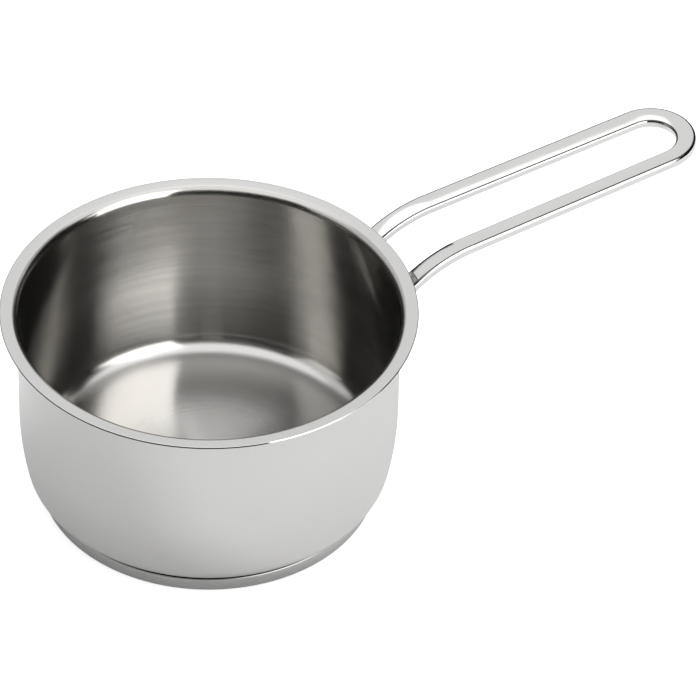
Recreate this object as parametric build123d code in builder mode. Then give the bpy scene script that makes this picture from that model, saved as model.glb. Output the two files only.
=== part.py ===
"""Milk pan: a drawn steel vessel with a pouring lip, a capped heat-spreading base
and a long loop handle bent from one flattened bar.

Millimetres, +Z up. The origin is the centre of the face that the pan rests on,
and the handle points along +X.
"""
from build123d import *
from math import asin, atan, cos, degrees, radians, sin, sqrt, tan
import os

# Sizes of the vessel
pan_height = 82.5
wall_outer_radius = 70.7
sheet_thickness = 0.7
floor_height = 6.0
dish_radius = 13.0
dish_rise_angle = 35.0
corner_radius = 7.5
side_lean_angle = 10.6
side_curve_radius = 128.0
lip_width = 6.3
lip_rise_angle = 7.0
lip_bend_radius = 3.0
lip_edge_radius = 0.3

# Sizes of the base under the vessel
cap_inset = 7.3
cap_sheet = 0.6
cap_edge_radius = 0.8
cap_seam_gap = 0.3
core_clearance = 0.1
core_edge_chamfer = 0.5

# Sizes of the handle
bar_width = 8.1
bar_thickness = 3.7
bar_corner_radius = 0.9
bar_tilt_angle = 6.7
root_depth = 18.5
root_slope_angle = 50.0
root_bend_radius = 47.2
handle_rise_angle = 3.2
root_leg_spacing = 28.5
loop_leg_spacing = 26.7
loop_start_distance = 125.1

# Sizes of the two root welds
weld_leg = 1.6
weld_length = 2.6
weld_edge = 0.15
weld_gap = 0.1

os.makedirs("parts", exist_ok=True)

# Drawn vessel: one sheet, drawn along the outside from the axis to the lip's edge
side_inset = side_curve_radius * (1 - cos(radians(side_lean_angle)))
corner_turn_angle = 90 - side_lean_angle - dish_rise_angle
corner_out = corner_radius * (cos(radians(side_lean_angle)) - sin(radians(dish_rise_angle)))
dish_out = dish_radius * sin(radians(dish_rise_angle))
floor_radius = wall_outer_radius - side_inset - corner_out - dish_out
lip_under_radius = lip_bend_radius - sheet_thickness
lip_bend_out = lip_under_radius * (1 - sin(radians(lip_rise_angle)))
lip_bend_up = lip_under_radius * cos(radians(lip_rise_angle))
lip_flat_out = lip_width - lip_bend_out
lip_flat_length = lip_flat_out / cos(radians(lip_rise_angle))
lip_flat_up = lip_flat_out * tan(radians(lip_rise_angle))
lip_sheet_up = sheet_thickness * cos(radians(lip_rise_angle))
wall_top = pan_height - lip_sheet_up - lip_flat_up - lip_bend_up

with BuildPart() as pan_body:
    with BuildSketch(Plane.XZ) as sheet_section:
        with BuildLine():
            floor_line = Line((0, floor_height), (floor_radius, floor_height))
            dish_arc = JernArc(floor_line @ 1, floor_line % 1, dish_radius, dish_rise_angle)
            corner_arc = JernArc(dish_arc @ 1, dish_arc % 1, corner_radius, corner_turn_angle)
            side_arc = JernArc(corner_arc @ 1, corner_arc % 1, side_curve_radius, side_lean_angle)
            wall_line = Line(side_arc @ 1, (wall_outer_radius, wall_top))
            lip_arc = JernArc(wall_line @ 1, wall_line % 1, lip_under_radius, lip_rise_angle - 90)
            PolarLine(lip_arc @ 1, lip_flat_length, lip_rise_angle)
            offset(amount=sheet_thickness, side=Side.LEFT, closed=True)
        make_face()
        fillet(sheet_section.vertices().sort_by(Axis.X)[-2:], radius=lip_edge_radius)
    revolve(axis=Axis.Z)
pan_body.part.label = "pan_body"
export_step(pan_body.part, "parts/pan_body.step")

# Base cap: a shallow steel tray pressed over the core, its rim just clear of the vessel's dish
cap_outer_radius = wall_outer_radius - cap_inset
cap_inner_radius = cap_outer_radius - cap_sheet
cap_rim_drop = sqrt((dish_radius + cap_seam_gap)**2 - (cap_inner_radius - floor_radius)**2)
cap_height = floor_height + dish_radius - cap_rim_drop

with BuildPart() as base_cap:
    Cylinder(cap_outer_radius, cap_height, align=(Align.CENTER, Align.CENTER, Align.MIN))
    fillet(base_cap.faces().sort_by(Axis.Z)[0].edges(), radius=cap_edge_radius)
    offset(amount=-cap_sheet, openings=base_cap.faces().sort_by(Axis.Z)[-1])
base_cap.part.label = "base_cap"
export_step(base_cap.part, "parts/base_cap.step")

# Base core: the aluminium disc that fills the cap and is pressed up against the vessel's dish
with BuildPart() as base_core:
    with BuildSketch(Plane.XZ):
        with BuildLine():
            seat_line = Line((0, floor_height), (floor_radius, floor_height))
            seat_arc = JernArc(seat_line @ 1, seat_line % 1, dish_radius, dish_rise_angle)
            side_line = Line(seat_arc @ 1, ((seat_arc @ 1).X, cap_sheet))
            bottom_line = Line(side_line @ 1, (0, cap_sheet))
            Line(bottom_line @ 1, seat_line @ 0)
        make_face()
    revolve(axis=Axis.Z)
    Cylinder(cap_inner_radius - core_clearance, pan_height, mode=Mode.INTERSECT)
    chamfer(base_core.faces().sort_by(Axis.Z)[0].edges(), length=core_edge_chamfer)
base_core.part.label = "base_core"
export_step(base_core.part, "parts/base_core.step")

# Handle: half of the bar follows this route, from inside the wall to the loop's end
leg_half_spacing = root_leg_spacing / 2
loop_half_spacing = loop_leg_spacing / 2
toe_angle = degrees(atan((leg_half_spacing - loop_half_spacing) / loop_start_distance))
root_reach = sqrt(wall_outer_radius**2 - leg_half_spacing**2)
root_height = pan_height - root_depth
root_overrun = bar_width
bend_out = root_bend_radius * (sin(radians(root_slope_angle)) - sin(radians(handle_rise_angle)))
bend_up = root_bend_radius * (cos(radians(handle_rise_angle)) - cos(radians(root_slope_angle)))
leg_length = loop_start_distance / cos(radians(toe_angle))
leg_up = bend_up + (leg_length - bend_out) * tan(radians(handle_rise_angle))

toe_direction = Vector(cos(radians(toe_angle)), -sin(radians(toe_angle)), 0)
outward_direction = Vector(sin(radians(toe_angle)), cos(radians(toe_angle)), 0)
leg_plane = Plane(
    origin=(root_reach, leg_half_spacing, root_height),
    x_dir=toe_direction,
    z_dir=-outward_direction,
)

with BuildLine(leg_plane) as leg_route:
    root_line = PolarLine((0, 0), root_overrun, root_slope_angle + 180)
    bend_direction = (cos(radians(root_slope_angle)), sin(radians(root_slope_angle)))
    root_bend = JernArc((0, 0), bend_direction, root_bend_radius, handle_rise_angle - root_slope_angle)
    leg_line = Line(root_bend @ 1, (leg_length, leg_up))

leg_end = leg_line @ 1
leg_direction = leg_line % 1
loop_plane = Plane(
    origin=(leg_end.X, 0, leg_end.Z),
    x_dir=(leg_direction.X, 0, leg_direction.Z),
    z_dir=(-leg_direction.Z, 0, leg_direction.X),
)
loop_toe_angle = degrees(asin(-leg_direction.Y))

with BuildLine(loop_plane) as loop_route:
    JernArc(
        start=(0, loop_half_spacing),
        tangent=(cos(radians(loop_toe_angle)), -sin(radians(loop_toe_angle))),
        radius=loop_half_spacing / cos(radians(loop_toe_angle)),
        arc_size=loop_toe_angle - 90,
    )

root_point = root_bend @ 0
root_direction = root_bend % 0
root_plane = Plane(
    origin=root_point - root_direction * root_overrun,
    x_dir=outward_direction,
    z_dir=root_direction,
)
half_route = Wire(leg_route.edges() + loop_route.edges())

with BuildPart() as handle:
    with BuildSketch(root_plane):
        RectangleRounded(bar_width, bar_thickness, bar_corner_radius, rotation=-bar_tilt_angle)
    sweep(path=half_route)
    mirror(about=Plane.XZ)
    Cylinder(wall_outer_radius + weld_gap, pan_height * 2, mode=Mode.SUBTRACT)
handle.part.label = "handle"
export_step(handle.part, "parts/handle.step")

# Root welds: a bead round each end of the bar where it meets the wall
foot_height = bar_thickness / cos(radians(root_slope_angle))
wall_azimuth = degrees(asin(leg_half_spacing / wall_outer_radius))
foot_direction = Vector(cos(radians(wall_azimuth)), sin(radians(wall_azimuth)), 0)
foot_plane = Plane(
    origin=root_point - foot_direction * weld_edge,
    x_dir=(-sin(radians(wall_azimuth)), cos(radians(wall_azimuth)), 0),
    z_dir=foot_direction,
)
crown_plane = Plane(
    origin=root_point + root_direction * (weld_length + foot_height / 2),
    x_dir=outward_direction,
    z_dir=root_direction,
)

with BuildPart() as weld_left:
    with BuildSketch(foot_plane):
        RectangleRounded(bar_width + 2 * weld_leg, foot_height + 2 * weld_leg, weld_leg)
    with BuildSketch(crown_plane):
        RectangleRounded(
            bar_width + 2 * weld_edge,
            bar_thickness + 2 * weld_edge,
            bar_corner_radius + weld_edge,
            rotation=-bar_tilt_angle,
        )
    loft()
    Cylinder(wall_outer_radius + weld_gap, pan_height * 2, mode=Mode.SUBTRACT)
    with BuildSketch(root_plane):
        RectangleRounded(
            bar_width + 2 * weld_gap,
            bar_thickness + 2 * weld_gap,
            bar_corner_radius + weld_gap,
            rotation=-bar_tilt_angle,
        )
    sweep(path=half_route, mode=Mode.SUBTRACT)
weld_left.part.label = "handle_weld_left"
export_step(weld_left.part, "parts/handle_weld_left.step")

with BuildPart() as weld_right:
    mirror(weld_left.part, about=Plane.XZ)
weld_right.part.label = "handle_weld_right"
export_step(weld_right.part, "parts/handle_weld_right.step")
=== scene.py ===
"""Milk pan with a loop handle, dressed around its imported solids. Metres, +Z up, handle along +X."""

import math

import bmesh
import bpy
from mathutils import Matrix, Vector


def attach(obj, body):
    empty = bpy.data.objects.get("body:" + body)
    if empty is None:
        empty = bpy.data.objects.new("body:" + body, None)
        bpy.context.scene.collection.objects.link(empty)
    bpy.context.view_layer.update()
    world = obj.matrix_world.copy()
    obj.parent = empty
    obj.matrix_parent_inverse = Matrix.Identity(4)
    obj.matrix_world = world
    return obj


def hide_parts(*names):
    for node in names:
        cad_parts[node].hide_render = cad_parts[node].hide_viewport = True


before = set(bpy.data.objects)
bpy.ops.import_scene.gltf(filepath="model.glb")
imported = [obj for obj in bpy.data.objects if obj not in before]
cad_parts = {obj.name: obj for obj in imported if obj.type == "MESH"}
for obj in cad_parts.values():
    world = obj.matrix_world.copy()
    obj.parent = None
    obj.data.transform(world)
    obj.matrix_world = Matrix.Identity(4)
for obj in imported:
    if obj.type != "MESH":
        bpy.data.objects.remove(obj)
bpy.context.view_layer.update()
scene = bpy.context.scene

# Camera: it looks down into the pan from the front, and the handle points away to
# the right. Its place is given in lip radii from the middle of the lip.
lip_radius = 0.077
lip_middle_height = 0.0822
view_azimuth = math.radians(-32.0)
view_down = math.radians(40.66)
view_roll = math.radians(1.626)
view_offset = Vector((0.6708, -0.196, 23.84)) * lip_radius
picture_width = 700
focal_pixels = 5000
sensor_width = 36.0

camera_data = bpy.data.cameras.new("camera")
camera_data.sensor_width = sensor_width
camera_data.lens = sensor_width * focal_pixels / picture_width
camera = bpy.data.objects.new("camera", camera_data)
camera.matrix_world = (
    Matrix.Rotation(view_azimuth, 4, "Z")
    @ Matrix.Translation((0, 0, lip_middle_height))
    @ Matrix.Rotation(math.pi / 2 - view_down, 4, "X")
    @ Matrix.Rotation(view_roll, 4, "Z")
    @ Matrix.Translation(view_offset)
)
scene.collection.objects.link(camera)
scene.camera = camera

# Vessel: one disc of stainless sheet, drawn to a flat floor with a dished rim, a rounded foot
# and a straight wall, then turned outwards at the top as a pouring lip with a cut edge. It
# is brushed in rings inside and satin outside.
vessel_height = 0.0825
vessel_wall_radius = 0.0707
vessel_floor_height = 0.006
vessel_sheet = 0.0007
vessel_dish = 0.013
vessel_dish_rise = math.radians(35.0)
vessel_corner = 0.0075
vessel_lean = math.radians(10.6)
vessel_side_curve = 0.128
lip_width = 0.0063
lip_rise = math.radians(7.0)
lip_bend = 0.003
edge_most_upward = 0.8
ring_steps = 288
run_cuts = 6
lip_cuts = 3
bend_steps = 10
lip_bend_steps = 14
merge_distance = 1e-6


class Outline:
    """A section that is drawn like bent strip: straight runs and bends from where the last one ended."""

    def __init__(self, mesh, start, heading=0.0):
        self.mesh = mesh
        self.point = bmesh.ops.create_vert(mesh, co=start)["vert"][0]
        self.heading = heading

    def straight(self, length, cuts):
        """Go on straight ahead, in so many equal runs."""
        step = Vector((math.cos(self.heading), 0, math.sin(self.heading))) * (length / cuts)
        for _ in range(cuts):
            grown = bmesh.ops.extrude_vert_indiv(self.mesh, verts=[self.point])["verts"]
            bmesh.ops.translate(self.mesh, verts=grown, vec=step)
            self.point = grown[0]

    def bend(self, radius, turn, steps):
        """Turn left round a bend of that radius, or right where the turn is negative."""
        side = math.copysign(radius, turn)
        centre = self.point.co + side * Vector((-math.sin(self.heading), 0, math.cos(self.heading)))
        swept = bmesh.ops.spin(
            self.mesh,
            geom=[self.point],
            cent=centre,
            axis=(0, -1, 0),
            angle=turn,
            steps=steps,
        )
        self.point = swept["geom_last"][0]
        self.heading += turn

    def corner(self, turn):
        """Turn on the spot, for a sharp corner."""
        self.heading += turn


def turned(mesh, steps):
    """Turn the outline once round the upright axis and close it into a solid skin."""
    bmesh.ops.spin(
        mesh,
        geom=mesh.verts[:] + mesh.edges[:],
        cent=(0, 0, 0),
        axis=(0, 0, 1),
        angle=math.tau,
        steps=steps,
        use_merge=True,
    )
    bmesh.ops.remove_doubles(mesh, verts=mesh.verts[:], dist=merge_distance)
    bmesh.ops.recalc_face_normals(mesh, faces=mesh.faces[:])


def shown(name, mesh, finishes):
    """Make the finished mesh an object with its finishes."""
    data = bpy.data.meshes.new(name)
    mesh.to_mesh(data)
    mesh.free()
    for finish in finishes:
        data.materials.append(finish.look)
    made = bpy.data.objects.new(name, data)
    scene.collection.objects.link(made)
    return made


def piece(name, mesh, finishes):
    """Make the finished mesh a smooth-shaded object that moves with the pan."""
    for face in mesh.faces:
        face.smooth = True
    made = shown(name, mesh, finishes)
    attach(made, "root")
    return made


class Wire:
    """A shader value that sums can be written with, as with a number."""

    def __init__(self, finish, socket):
        self.finish = finish
        self.socket = socket

    def sum_of(self, operation, first, second):
        return self.finish.node("ShaderNodeMath", {"operation": operation}, {0: first, 1: second})

    def __add__(self, other):
        return self.sum_of("ADD", self, other)

    def __sub__(self, other):
        return self.sum_of("SUBTRACT", self, other)

    def __rsub__(self, other):
        return self.sum_of("SUBTRACT", other, self)

    def __mul__(self, other):
        return self.sum_of("MULTIPLY", self, other)

    __radd__ = __add__
    __rmul__ = __mul__


class Finish:
    """The material of one surface, or the light of a world, built node by node."""

    noise_low = 0.3
    noise_high = 0.7
    noise_roughness = 0.6

    def __init__(self, name, kept_in=bpy.data.materials):
        self.look = kept_in.new(name)
        self.look.use_nodes = True
        self.tree = self.look.node_tree
        self.tree.nodes.clear()

    def node(self, kind, settings=None, inputs=None, output=0):
        """Add a node with its settings, then the values or links of its sockets."""
        made = self.tree.nodes.new(kind)
        for name, value in (settings or {}).items():
            setattr(made, name, value)
        for name, value in (inputs or {}).items():
            if isinstance(value, Wire):
                self.tree.links.new(value.socket, made.inputs[name])
            else:
                made.inputs[name].default_value = value
        return Wire(self, made.outputs[output]) if len(made.outputs) else made

    def vector_math(self, operation, first, second=(0, 0, 0), output=0):
        """Work on vectors, where a Math node would keep only one number."""
        return self.node(
            "ShaderNodeVectorMath", {"operation": operation}, {0: first, 1: second}, output=output
        )

    def place(self):
        """The surface point, in metres from the pan's origin."""
        return self.node("ShaderNodeTexCoord", output="Object")

    def radius(self):
        """The distance from the upright axis."""
        flat = self.vector_math("MULTIPLY", self.place(), (1, 1, 0))
        return self.vector_math("LENGTH", flat, output="Value")

    def cloud(self, scale, detail=2.0):
        """Noise that varies alike in every direction, so many changes a metre."""
        return self.node(
            "ShaderNodeTexNoise", None, {"Vector": self.place(), "Scale": scale, "Detail": detail}
        )

    def ring_grain(self, along, across, detail=3.0):
        """Noise drawn out into rings round the upright axis, so many changes a metre each way."""
        return self.node(
            "ShaderNodeTexNoise",
            {"noise_dimensions": "4D"},
            {
                "Vector": self.vector_math("MULTIPLY", self.place(), (along, along, across)),
                "W": self.radius() * across,
                "Scale": 1.0,
                "Detail": detail,
                "Roughness": self.noise_roughness,
            },
        )

    def between(self, value, start, end, low, high):
        """Go smoothly from low to high as the value goes from start to end."""
        return self.node(
            "ShaderNodeMapRange",
            {"interpolation_type": "SMOOTHSTEP"},
            {"Value": value, 1: start, 2: end, 3: low, 4: high},
        )

    def spread(self, noise, low, high):
        """Go from low to high over the range that a noise mostly keeps to."""
        return self.between(noise, self.noise_low, self.noise_high, low, high)

    def tint(self, mask, low, high):
        """A colour that goes from low to high as the mask goes from 0 to 1."""
        return self.node(
            "ShaderNodeMix",
            {"data_type": "RGBA"},
            {0: mask, 6: (*low, 1), 7: (*high, 1)},
            output=2,
        )

    def bump(self, height, strength, depth):
        """Shading relief from a height map, with its real depth in metres."""
        return self.node(
            "ShaderNodeBump", None, {"Height": height, "Strength": strength, "Distance": depth}
        )

    def metal(self, color, roughness, normal, **fixed):
        """Close the material as bare metal."""
        inputs = {"Base Color": color, "Roughness": roughness, "Normal": normal, "Metallic": 1.0}
        inputs.update({name.replace("_", " "): value for name, value in fixed.items()})
        shader = self.node("ShaderNodeBsdfPrincipled", None, inputs)
        self.node("ShaderNodeOutputMaterial", None, {"Surface": shader})


satin = Finish("satin_steel")
satin_grain = satin.ring_grain(along=12.0, across=900.0)
satin.metal(
    satin.tint(satin.cloud(scale=26.0), low=(0.595, 0.592, 0.585), high=(0.625, 0.622, 0.615)),
    satin.spread(satin_grain, low=0.23, high=0.27),
    satin.bump(satin_grain, strength=0.12, depth=0.00002),
)

# the low colour and tint of the inside wall are matched to the picture
score_share = 0.3
wall_brush = Finish("brushed_wall_steel")
wall_grain = wall_brush.ring_grain(along=9.0, across=1400.0, detail=4.0)
wall_scores = wall_brush.ring_grain(along=22.0, across=420.0, detail=2.0)
wall_relief = wall_grain * (1 - score_share) + wall_scores * score_share
wall_brush.metal(
    wall_brush.tint(wall_brush.spread(wall_grain, 0, 1), low=(0.43, 0.42, 0.40), high=(0.49, 0.48, 0.46)),
    wall_brush.spread(wall_scores, low=0.165, high=0.205),
    wall_brush.bump(wall_relief, strength=0.05, depth=0.00003),
    Anisotropic=1.0,
    Anisotropic_Rotation=0.25,
    Specular_Tint=(0.25, 0.25, 0.25, 1),
)

# the floor is painted darker where it is dished, as painted shade that holds its ring highlight down, and
# is rougher in its middle, matched to the picture
dish_shade_start = 0.055
dish_shade_end = 0.061
rough_middle_end = 0.025
fine_ring_start = 0.05
floor_streaks = 0.2
floor_brush = Finish("brushed_floor_steel")
floor_grain = floor_brush.ring_grain(along=9.0, across=1400.0, detail=4.0)
floor_dish_painted_shade = floor_brush.between(floor_brush.radius(), dish_shade_start, dish_shade_end, 0, 1)
# the darker colour in the dished ring is painted shade; the streaks are grain
floor_brush.metal(
    floor_brush.tint(
        floor_dish_painted_shade + floor_grain * floor_streaks - floor_streaks / 2,
        low=(0.62, 0.61, 0.595),
        high=(0.50, 0.494, 0.488),
    ),
    floor_brush.spread(floor_grain, low=-0.01, high=0.01)
    + floor_brush.between(floor_brush.radius(), rough_middle_end, fine_ring_start, low=0.29, high=0.17),
    floor_brush.bump(floor_grain, strength=0.015, depth=0.00003),
    Anisotropic=1.0,
    Anisotropic_Rotation=0.25,
)

# the picture shows the cut edge near black, with one bright stretch. Both are painted in for what the
# edge seems to mirror: the near black is a painted dark reflection and the stretch a painted highlight,
# not wear or a known finish. The painted highlight is placed from the camera's azimuth, and stays there on
# the lip in other views.
painted_highlight_turn = view_azimuth + math.radians(37.0)
painted_highlight_side = (math.sin(painted_highlight_turn), -math.cos(painted_highlight_turn), 0)
painted_highlight_start = 0.0726
painted_highlight_full = 0.0734
edge_grain_share = 0.05
cut_edge = Finish("cut_edge_painted_reflection")
edge_grain = cut_edge.ring_grain(along=60.0, across=2000.0, detail=2.0)
edge_reach = cut_edge.vector_math("DOT_PRODUCT", cut_edge.place(), painted_highlight_side, output="Value")
painted_highlight = cut_edge.between(edge_reach, painted_highlight_start, painted_highlight_full, 0, 1)
# the cut edge's colour is a painted dark reflection with one painted highlight
cut_edge.metal(
    cut_edge.tint(
        painted_highlight * (1 - edge_grain_share) + edge_grain * edge_grain_share,
        low=(0.01, 0.01, 0.009),
        high=(0.88, 0.875, 0.86),
    ),
    cut_edge.spread(edge_grain, low=0.15, high=0.3),
    cut_edge.bump(edge_grain, strength=0.1, depth=0.00002),
)

side_inset = vessel_side_curve * (1 - math.cos(vessel_lean))
corner_turn = math.pi / 2 - vessel_lean - vessel_dish_rise
corner_out = vessel_corner * (math.cos(vessel_lean) - math.sin(vessel_dish_rise))
floor_radius = vessel_wall_radius - side_inset - corner_out - vessel_dish * math.sin(vessel_dish_rise)
under_bend = lip_bend - vessel_sheet
lip_flat = (lip_width - under_bend * (1 - math.sin(lip_rise))) / math.cos(lip_rise)
wall_start = (
    vessel_floor_height
    + vessel_dish * (1 - math.cos(vessel_dish_rise))
    + vessel_corner * (math.cos(vessel_dish_rise) - math.sin(vessel_lean))
    + vessel_side_curve * math.sin(vessel_lean)
)
lip_climb = under_bend * math.cos(lip_rise) + lip_flat * math.sin(lip_rise)
wall_length = vessel_height - vessel_sheet * math.cos(lip_rise) - lip_climb - wall_start

vessel_mesh = bmesh.new()
vessel_line = Outline(vessel_mesh, (0, 0, vessel_floor_height))
vessel_line.straight(floor_radius, run_cuts)
vessel_line.bend(vessel_dish, vessel_dish_rise, bend_steps)
vessel_line.bend(vessel_corner, corner_turn, bend_steps)
vessel_line.bend(vessel_side_curve, vessel_lean, bend_steps)
vessel_line.straight(wall_length, run_cuts)
vessel_line.bend(under_bend, lip_rise - math.pi / 2, bend_steps)
vessel_line.straight(lip_flat - vessel_sheet / 2, lip_cuts)
vessel_line.bend(vessel_sheet / 2, math.pi, bend_steps)
vessel_line.straight(lip_flat - vessel_sheet / 2, lip_cuts)
vessel_line.bend(lip_bend, math.pi / 2 - lip_rise, lip_bend_steps)
vessel_line.straight(wall_length, run_cuts)
vessel_line.bend(vessel_side_curve - vessel_sheet, -vessel_lean, bend_steps)
vessel_line.bend(vessel_corner - vessel_sheet, -corner_turn, bend_steps)
vessel_line.bend(vessel_dish - vessel_sheet, -vessel_dish_rise, bend_steps)
vessel_line.straight(floor_radius, run_cuts)
turned(vessel_mesh, ring_steps)
vessel_finishes = [satin, wall_brush, floor_brush, cut_edge]
edge_middle = vessel_wall_radius + lip_width - vessel_sheet / 2
dish_edge_radius = floor_radius + (vessel_dish - vessel_sheet) * math.sin(vessel_dish_rise)
for face in vessel_mesh.faces:
    middle = face.calc_center_median()
    outwards = Vector((middle.x, middle.y, 0)).normalized()
    within = middle.xy.length < vessel_wall_radius + lip_bend / 2
    if within and face.normal.z > face.normal.dot(outwards):
        inside = floor_brush if middle.xy.length < dish_edge_radius else wall_brush
        face.material_index = vessel_finishes.index(inside)
    elif middle.xy.length > edge_middle and face.normal.z < edge_most_upward:
        face.material_index = vessel_finishes.index(cut_edge)
vessel = piece("vessel", vessel_mesh, vessel_finishes)
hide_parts("pan_body")

# Base cap: a shallow tray of thinner sheet, pressed on over the core and turned in fine
# rings. Its rim is 1.2 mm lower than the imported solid's, so that the dark seam under the
# vessel shows from above as it does in the picture.
cap_radius = 0.0634
cap_height = 0.0054
cap_sheet = 0.0006
cap_edge = 0.0008
rim_cuts = 4
cap_edge_steps = 8
rim_steps = 6

turned_steel = Finish("turned_cap_steel")
turning = turned_steel.ring_grain(along=5.0, across=1800.0, detail=2.0)
turned_steel.metal(
    turned_steel.tint(turning, low=(0.50, 0.497, 0.49), high=(0.55, 0.547, 0.54)),
    turned_steel.spread(turning, low=0.24, high=0.33),
    turned_steel.bump(turning, strength=0.2, depth=0.00003),
)

cap_mesh = bmesh.new()
cap_line = Outline(cap_mesh, (0, 0, 0))
cap_line.straight(cap_radius - cap_edge, run_cuts)
cap_line.bend(cap_edge, math.pi / 2, cap_edge_steps)
cap_line.straight(cap_height - cap_edge - cap_sheet / 2, rim_cuts)
cap_line.bend(cap_sheet / 2, math.pi, rim_steps)
cap_line.straight(cap_height - cap_sheet - cap_sheet / 2, rim_cuts)
cap_line.corner(-math.pi / 2)
cap_line.straight(cap_radius - cap_sheet, run_cuts)
turned(cap_mesh, ring_steps)
cap = piece("cap", cap_mesh, [turned_steel])
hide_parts("base_cap")

# Base core: a disc of aluminium between cap and vessel, seen only in the seam. The picture
# shows the seam dark, so its colour is painted shade, far darker than the bare metal would be.
core_painted_shade = Finish("core_aluminium")
core_grain = core_painted_shade.ring_grain(along=20.0, across=500.0)
# near-black colour: painted shade in the seam
core_painted_shade.metal(
    core_painted_shade.tint(core_grain, low=(0.02, 0.02, 0.02), high=(0.05, 0.05, 0.05)),
    core_painted_shade.spread(core_grain, low=0.4, high=0.5),
    core_painted_shade.bump(core_grain, strength=0.2, depth=0.00004),
)
core_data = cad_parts["base_core"].data
core_data.materials.clear()
core_data.materials.append(core_painted_shade.look)

# Handle: one length of round bar rolled flat, bent in a hairpin loop and then down to the
# wall, where both ends are welded on. Polished, with its edges rounded over. The dark line along each
# arris is a painted reflection, painted in for the dark that it seems to mirror in the picture, not a dull
# finish.
bar_width = 0.0081
bar_thickness = 0.0037
bar_corner = 0.0011
bar_crown = math.radians(7.0)
bar_arris = math.radians(38.0)
bar_tilt = math.radians(6.7)
root_height = 0.064
root_slope = math.radians(50.0)
root_bend = 0.0472
root_seat = 0.0001
handle_rise = math.radians(3.2)
root_half_spacing = 0.01425
loop_half_spacing = 0.01335
loop_start = 0.1251
side_cuts = 2
section_steps = 8
root_cuts = 2
root_bend_steps = 28
leg_cuts = 24
loop_steps = 24

polished = Finish("polished_bar_steel")
polished_cloud = polished.cloud(scale=90.0, detail=3.0)
polished.metal(
    polished.tint(polished_cloud, low=(0.63, 0.628, 0.622), high=(0.67, 0.668, 0.662)),
    polished.spread(polished_cloud, low=0.10, high=0.14),
    polished.bump(polished_cloud, strength=0.15, depth=0.00005),
)

# the arris colour is a painted dark reflection of dark surroundings
arris_painted_dark = Finish("arris_painted_reflection")
arris_cloud = arris_painted_dark.cloud(scale=150.0, detail=3.0)
arris_painted_dark.metal(
    arris_painted_dark.tint(arris_cloud, low=(0.03, 0.03, 0.029), high=(0.12, 0.12, 0.117)),
    arris_painted_dark.spread(arris_cloud, low=0.15, high=0.25),
    arris_painted_dark.bump(arris_cloud, strength=0.1, depth=0.00005),
)

toe_in = math.atan2(root_half_spacing - loop_half_spacing, loop_start)
root_reach = math.sqrt(vessel_wall_radius**2 - root_half_spacing**2)
root_point = Vector((root_reach, root_half_spacing, root_height))
ahead = Vector((math.cos(toe_in), -math.sin(toe_in), 0))
outboard = Vector((math.sin(toe_in), math.cos(toe_in), 0))
upward = Vector((0, 0, 1))


def slanting(angle):
    """The direction along the leg that climbs by that angle."""
    return math.cos(angle) * ahead + math.sin(angle) * upward


def carried(end, direction, length, cuts):
    """Draw the bar's section straight ahead."""
    for _ in range(cuts):
        edges = [e for e in end if isinstance(e, bmesh.types.BMEdge)]
        end = bmesh.ops.extrude_edge_only(handle_mesh, edges=edges)["geom"]
        moved = [v for v in end if isinstance(v, bmesh.types.BMVert)]
        bmesh.ops.translate(handle_mesh, verts=moved, vec=direction * (length / cuts))
        end = [g for g in end if not isinstance(g, bmesh.types.BMFace)]
    return end


side_flat = bar_thickness - 2 * bar_corner
top_chord = bar_width - 2 * bar_corner
crown_radius = top_chord / (2 * math.sin(bar_crown))
handle_mesh = bmesh.new()
bar_line = Outline(handle_mesh, (bar_width / 2, 0, -side_flat / 2), math.pi / 2)
for _ in range(2):
    bar_line.straight(side_flat, side_cuts)
    bar_line.bend(bar_corner, math.pi / 2 - bar_crown, section_steps)
    bar_line.bend(crown_radius, 2 * bar_crown, section_steps)
    bar_line.bend(bar_corner, math.pi / 2 - bar_crown, section_steps)
bmesh.ops.remove_doubles(handle_mesh, verts=handle_mesh.verts[:], dist=merge_distance)

# the seam marks on the arrises go with the section, and pick out their faces at the end
for edge in handle_mesh.edges:
    run = edge.verts[1].co - edge.verts[0].co
    edge.seam = bar_crown < math.atan2(abs(run.z), abs(run.x)) < bar_arris

# the section is drawn upright in X and Z, so it is turned to face along the root's slope
root_direction = slanting(root_slope)
section_up = root_direction.cross(outboard)
section_frame = Matrix((outboard, -root_direction, -section_up)).transposed().to_4x4()
root_overrun = bar_width / 2
bmesh.ops.transform(
    handle_mesh,
    matrix=Matrix.Translation(root_point - root_direction * root_overrun)
    @ section_frame
    @ Matrix.Rotation(bar_tilt, 4, "Y"),
    verts=handle_mesh.verts[:],
)
end = handle_mesh.verts[:] + handle_mesh.edges[:]
end = carried(end, root_direction, root_overrun, root_cuts)

bend_centre = root_point + root_bend * (math.sin(root_slope) * ahead - math.cos(root_slope) * upward)
end = bmesh.ops.spin(
    handle_mesh,
    geom=end,
    cent=bend_centre,
    axis=outboard,
    angle=root_slope - handle_rise,
    steps=root_bend_steps,
)["geom_last"]

leg_start = bend_centre + root_bend * (
    -math.sin(handle_rise) * ahead + math.cos(handle_rise) * upward
)
leg_direction = slanting(handle_rise)
leg_run = (loop_start / math.cos(toe_in) - (leg_start - root_point).dot(ahead)) / math.cos(handle_rise)
end = carried(end, leg_direction, leg_run, leg_cuts)

leg_end = leg_start + leg_direction * leg_run
loop_normal = Vector((-leg_direction.z, 0, leg_direction.x)).normalized()
loop_out = loop_normal.cross(leg_direction).normalized()
loop_radius = leg_end.y / loop_out.y
bmesh.ops.spin(
    handle_mesh,
    geom=end,
    cent=leg_end - loop_out * loop_radius,
    axis=-loop_normal,
    angle=math.pi / 2 - math.asin(-leg_direction.y),
    steps=loop_steps,
)

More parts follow.
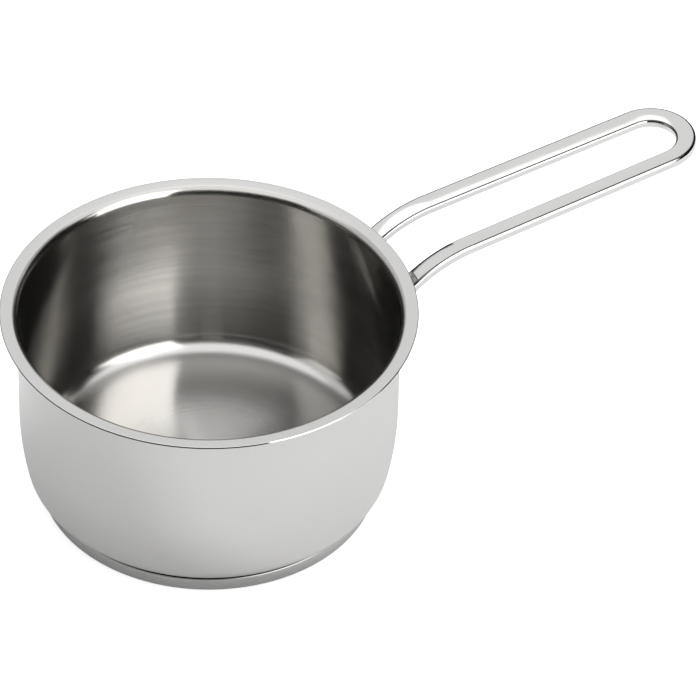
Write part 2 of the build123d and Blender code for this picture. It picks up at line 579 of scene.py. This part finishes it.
foot_azimuth = math.atan2(root_point.y, root_point.x)
foot_direction = Vector((math.cos(foot_azimuth), math.sin(foot_azimuth), 0))
bmesh.ops.bisect_plane(
    handle_mesh,
    geom=handle_mesh.verts[:] + handle_mesh.edges[:] + handle_mesh.faces[:],
    plane_co=foot_direction * (vessel_wall_radius - root_seat),
    plane_no=-foot_direction,
    clear_outer=True,
)
open_ends = [e for e in handle_mesh.edges if e.is_boundary]
root_rim = [e for e in open_ends if e.verts[0].co.y > loop_half_spacing / 2]
bmesh.ops.contextual_create(handle_mesh, geom=root_rim)
for vert in handle_mesh.verts:
    if abs(vert.co.y) < merge_distance:
        vert.co.y = 0
half = handle_mesh.verts[:] + handle_mesh.edges[:] + handle_mesh.faces[:]
bmesh.ops.mirror(handle_mesh, geom=half, axis="Y", merge_dist=merge_distance)
bmesh.ops.remove_doubles(handle_mesh, verts=handle_mesh.verts[:], dist=merge_distance)
bmesh.ops.recalc_face_normals(handle_mesh, faces=handle_mesh.faces[:])
bar_finishes = [polished, arris_painted_dark]
# faces along the arrises get the painted dark reflection
for face in handle_mesh.faces:
    along_arris = sum(edge.seam for edge in face.edges) == 2
    face.material_index = bar_finishes.index(arris_painted_dark if along_arris else polished)
handle = piece("bar_handle", handle_mesh, bar_finishes)
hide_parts("handle")

# Root welds: a bead of steel laid round each end of the bar and brushed clean. The lip hides
# them from the camera, so their finish, part metal and part matt, is a guess.
weld_steel = Finish("weld_steel")
weld_cloud = weld_steel.cloud(scale=400.0, detail=3.0)
weld_steel.metal(
    weld_steel.tint(weld_cloud, low=(0.74, 0.735, 0.725), high=(0.80, 0.795, 0.785)),
    weld_steel.spread(weld_cloud, low=0.4, high=0.5),
    weld_steel.bump(weld_cloud, strength=0.3, depth=0.0001),
    Metallic=0.35,
)
for side in ("left", "right"):
    bead_mesh = bmesh.new()
    bead_mesh.from_mesh(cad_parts[f"handle_weld_{side}"].data)
    bmesh.ops.remove_doubles(bead_mesh, verts=bead_mesh.verts[:], dist=merge_distance)
    bead = piece(f"weld_bead_{side}", bead_mesh, [weld_steel])
    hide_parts(f"handle_weld_{side}")

# Studio: a white table in a white room, whose lamps and screens are placed to give the steel
# the reflections in the picture. A tall and a narrow soft box stand at the front right and a
# wide one hangs overhead. Dark screens stand round the rest, and a key box lights matt things.
table_size = 12.0
table_drop = 0.00005
table_glow = 0.6
screen_reach = 1.1
screen_steps = 24
tall_box_azimuth = 47.0
tall_box_middle = 1.3
side_box_azimuth = 74.0
side_box_middle = 1.9
overhead_height = 2.2
overhead_shift = 0.05
overhead_size = 3.0
key_azimuth = 125.0
key_reach = 1.6
key_height = 1.5
key_size = 1.0
room_white = 1.0
room_fill = 0.82
white = (1, 1, 1, 1)
felt_black = (0.004, 0.004, 0.004, 1)

# the table is lifted to white for the camera alone, so the steel mirrors a greyer one
table_cloth = Finish("white_table")
table_seen = table_cloth.node("ShaderNodeLightPath", output="Is Camera Ray")
table_color = table_cloth.tint(table_cloth.cloud(scale=3.0), low=(0.8, 0.8, 0.8), high=(0.82, 0.82, 0.82))
table_matt = table_cloth.node("ShaderNodeBsdfDiffuse", None, {"Color": table_color})
table_lift = table_cloth.node(
    "ShaderNodeEmission", None, {"Color": white, "Strength": table_seen * table_glow}
)
table_both = table_cloth.node("ShaderNodeAddShader", None, {0: table_matt, 1: table_lift})
table_cloth.node("ShaderNodeOutputMaterial", None, {"Surface": table_both})

screen_felt = Finish("dark_screen")
felt_matt = screen_felt.node("ShaderNodeBsdfDiffuse", None, {"Color": felt_black})
screen_felt.node("ShaderNodeOutputMaterial", None, {"Surface": felt_matt})


def staged(name, mesh, finish):
    """Put a thing that isn't part of the pan into the studio."""
    made = shown(name, mesh, [finish])
    return made


def sideways(azimuth):
    """The level direction at an azimuth from the camera's, positive to its right."""
    turn = math.radians(azimuth) + view_azimuth
    return Vector((math.sin(turn), -math.cos(turn), 0))


def screen(name, start, end, climb):
    """A dark curved screen from one azimuth to another, as high as that climb, seen only in reflections."""
    mesh = bmesh.new()
    foot = bmesh.ops.create_vert(mesh, co=sideways(start) * screen_reach)["vert"][0]
    head = bmesh.ops.extrude_vert_indiv(mesh, verts=[foot])["verts"]
    height = screen_reach * math.tan(math.radians(climb))
    bmesh.ops.translate(mesh, verts=head, vec=(0, 0, height))
    bmesh.ops.spin(
        mesh,
        geom=mesh.verts[:] + mesh.edges[:],
        cent=(0, 0, 0),
        axis=(0, 0, 1),
        angle=math.radians(end - start),
        steps=screen_steps,
    )
    made = staged(name, mesh, screen_felt)
    made.visible_camera = False
    made.visible_diffuse = False
    made.visible_shadow = False


def soft_box(name, place, facing, width, height, glow, mirrored=True, on_matt=True, round_face=False):
    """A lamp with that much glow all over its face, where 1 is white. It adds to the room behind it."""
    data = bpy.data.lights.new(name, "AREA")
    data.shape = "ELLIPSE" if round_face else "RECTANGLE"
    data.size = width
    data.size_y = height
    data.energy = glow * math.pi * width * height * (math.pi / 4 if round_face else 1)
    made = bpy.data.objects.new(name, data)
    made.location = place
    made.rotation_mode = "QUATERNION"
    made.rotation_quaternion = facing.to_track_quat("-Z", "Y")
    made.visible_glossy = mirrored
    made.visible_diffuse = on_matt
    scene.collection.objects.link(made)


table_mesh = bmesh.new()
bmesh.ops.create_grid(table_mesh, x_segments=1, y_segments=1, size=table_size / 2)
bmesh.ops.translate(table_mesh, verts=table_mesh.verts[:], vec=(0, 0, -table_drop))
staged("table", table_mesh, table_cloth)

screen("front_screen", start=-60.0, end=25.0, climb=55.0)
screen("near_right_screen", start=68.0, end=84.0, climb=35.0)
screen("right_screen", start=84.0, end=136.0, climb=55.0)
screen("back_right_screen", start=136.0, end=168.0, climb=35.0)
screen("left_screen", start=-170.0, end=-60.0, climb=30.0)

tall_side = sideways(tall_box_azimuth)
tall_place = tall_side + tall_box_middle * upward
soft_box("tall_soft_box", tall_place, -tall_side, width=0.78, height=2.6, glow=2.5, on_matt=False)
side_side = sideways(side_box_azimuth)
side_place = side_side + side_box_middle * upward
soft_box("side_soft_box", side_place, -side_side, width=0.21, height=2.4, glow=2.4, on_matt=False)
overhead_place = overhead_height * upward + overhead_shift * sideways(0.0)
downward = Vector((0, 0, -1))
soft_box(
    "overhead_soft_box", overhead_place, downward, overhead_size, overhead_size, glow=0.68, round_face=True
)
key_place = sideways(key_azimuth) * key_reach + key_height * upward
soft_box("key_soft_box", key_place, -key_place, key_size, key_size, glow=7.0, mirrored=False)

room = Finish("white_room", bpy.data.worlds)
room_seen = room.node("ShaderNodeLightPath", output="Is Camera Ray")
room_mirrored = room.node("ShaderNodeLightPath", output="Is Glossy Ray")
room_through = room.node("ShaderNodeLightPath", output="Is Transmission Ray")
room_level = room.between(room_seen + room_mirrored + room_through, 0, 1, room_fill, room_white)
room_light = room.node("ShaderNodeBackground", None, {"Color": white, "Strength": room_level})
room.node("ShaderNodeOutputWorld", None, {"Surface": room_light})
scene.world = room.look

scene.view_settings.view_transform = "Standard"
